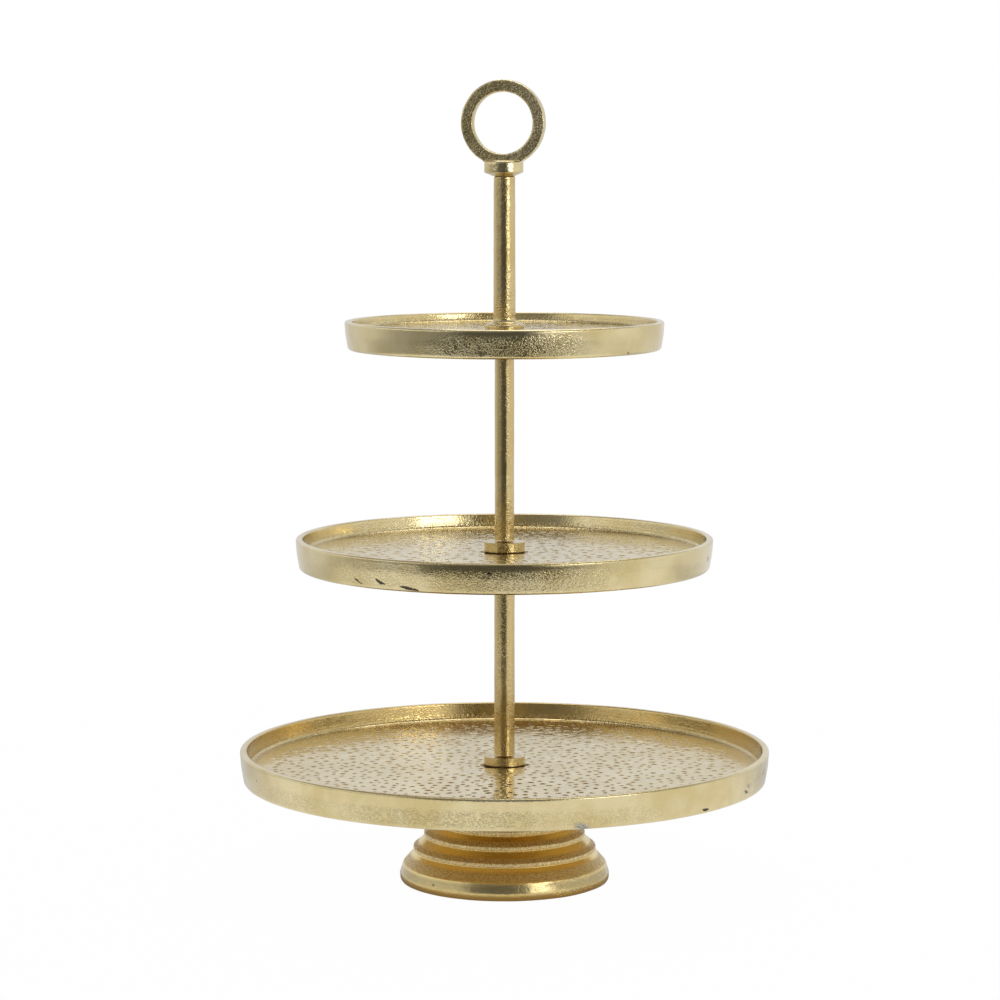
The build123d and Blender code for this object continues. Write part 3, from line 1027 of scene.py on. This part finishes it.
def azimuth_ramp(tree, share, stops):
    """Light level all round: stops are (degrees from the front, level)."""
    ramp = add(tree, "ValToRGB", Fac=share)
    elements = ramp.color_ramp.elements
    while len(elements) < len(stops):
        elements.new(0.5)
    for element, (angle, level) in zip(elements, stops):
        element.position = angle / 360 + 0.5
        element.color = (level, level, level, 1)
    return ramp.outputs[0]


def studio_world():
    """White to the eye. Reflections see a room with bright sides, dark front and grey ceiling."""
    world = bpy.data.worlds.new("studio")
    bpy.context.scene.world = world
    world.use_nodes = True
    tree = world.node_tree
    tree.nodes.clear()
    way = add(tree, "TexCoord").outputs["Generated"]
    parts = add(tree, "SeparateXYZ", Vector=way).outputs
    back = math_node(tree, "MULTIPLY", parts[1], -1.0)
    turn = math_node(tree, "ARCTAN2", parts[0], back)
    share = math_node(tree, "ADD", math_node(tree, "MULTIPLY", turn, 0.5 / math.pi), 0.5)
    high = azimuth_ramp(tree, share, HIGH_LIGHT)
    upper = azimuth_ramp(tree, share, UPPER_LIGHT)
    level = azimuth_ramp(tree, share, LEVEL_LIGHT)
    low = azimuth_ramp(tree, share, LOW_LIGHT)
    sky = blend_colour(tree, limits(tree, parts[2], 0.03, 0.10), level, high)
    sky = blend_colour(tree, limits(tree, parts[2], 0.17, 0.26), sky, upper)
    sky = blend_colour(tree, limits(tree, parts[2], 0.38, 0.80), sky, [0.36, 0.36, 0.38, 1])
    whole = blend_colour(tree, limits(tree, parts[2], -0.25, -0.16), low, sky)
    seen = add(tree, "LightPath").outputs["Is Camera Ray"]
    colour = blend_colour(tree, seen, whole, [1, 1, 1, 1])
    shader = add(tree, "Background", Color=colour, Strength=1.0)
    add(tree, "OutputWorld", Surface=shader.outputs[0])


def studio_floor():
    """A white table top that fades into the white background, soonest towards the front."""
    outline = [Vector((r, 0)) for r in (0, 300, 620, 1000, 1500)]
    verts, faces = lathe(outline, 96)
    mesh = bpy.data.meshes.new("studio_floor")
    mesh.from_pydata([v * MM for v in verts], [], faces)
    floor = bpy.data.objects.new("studio_floor", mesh)
    bpy.context.scene.collection.objects.link(floor)
    material, tree = new_material("studio_floor")
    place = add(tree, "TexCoord").outputs["Object"]
    far = add(tree, "VectorMath", {"operation": "LENGTH"}, i0=place).outputs["Value"]
    front = math_node(tree, "MULTIPLY", add(tree, "SeparateXYZ", Vector=place).outputs[1], -1.0)
    white = add(tree, "BsdfDiffuse", Color=[0.92, 0.92, 0.92, 1])
    seen = add(tree, "LightPath").outputs["Is Camera Ray"]
    # light for reflections: little under the foot, full round it and in front, less far behind
    shade = limits(tree, far, 0.095, 0.13, 0.20, 1.0)
    near = limits(tree, far, 0.26, 0.38, 1.0, 0.0)
    dim = math_node(tree, "MAXIMUM", limits(tree, front, -0.40, 0.05, 0.62, 1.0), near)
    shade = math_node(tree, "MULTIPLY", shade, dim)
    strength = math_node(tree, "MAXIMUM", shade, seen)
    glow = add(tree, "Emission", Color=[1, 1, 1, 1], Strength=strength)
    own = limits(tree, seen, 0.0, 1.0, 0.75, 0.985)
    lit = add(tree, "MixShader", Fac=own, i1=white.outputs[0], i2=glow.outputs[0])
    clear = add(tree, "BsdfTransparent", Color=[1, 1, 1, 1])
    fade = math_node(tree, "MAXIMUM", limits(tree, far, 1.0, 1.45), limits(tree, front, 0.60, 0.95))
    both = add(tree, "MixShader", Fac=fade, i1=lit.outputs[0], i2=clear.outputs[0])
    finish_material(tree, both)
    mesh.materials.append(material)


def soft_light(name, place, target, width, height, power):
    """A rectangular softbox."""
    lamp = bpy.data.lights.new(name, "AREA")
    lamp.shape = "RECTANGLE"
    lamp.size = width
    lamp.size_y = height
    lamp.energy = power
    box = bpy.data.objects.new(name, lamp)
    box.location = place
    box.rotation_euler = (Vector(target) - Vector(place)).to_track_quat("-Z", "Y").to_euler()
    bpy.context.scene.collection.objects.link(box)


def camera():
    """The viewpoint: in front, a little above the middle, looking slightly down."""
    view = bpy.data.cameras.new("camera")
    view.sensor_width = 36.0
    view.lens = CAMERA_LENS
    view.shift_x = CAMERA_SHIFT
    eye = bpy.data.objects.new("camera", view)
    eye.location = CAMERA_PLACE
    eye.rotation_euler = (math.radians(90 - CAMERA_DIP), 0, 0)
    bpy.context.scene.collection.objects.link(eye)
    bpy.context.scene.camera = eye


studio_world()
studio_floor()
soft_light("overhead", (0.2, 0.5, 2.2), (0, 0, 0.3), 1.6, 1.6, 14.0)
soft_light("front_right", (1.67, -1.86, 0.84), (0, 0, 0.84), 1.05, 0.52, 6.0)
camera()
bpy.context.scene.view_settings.view_transform = "Standard"
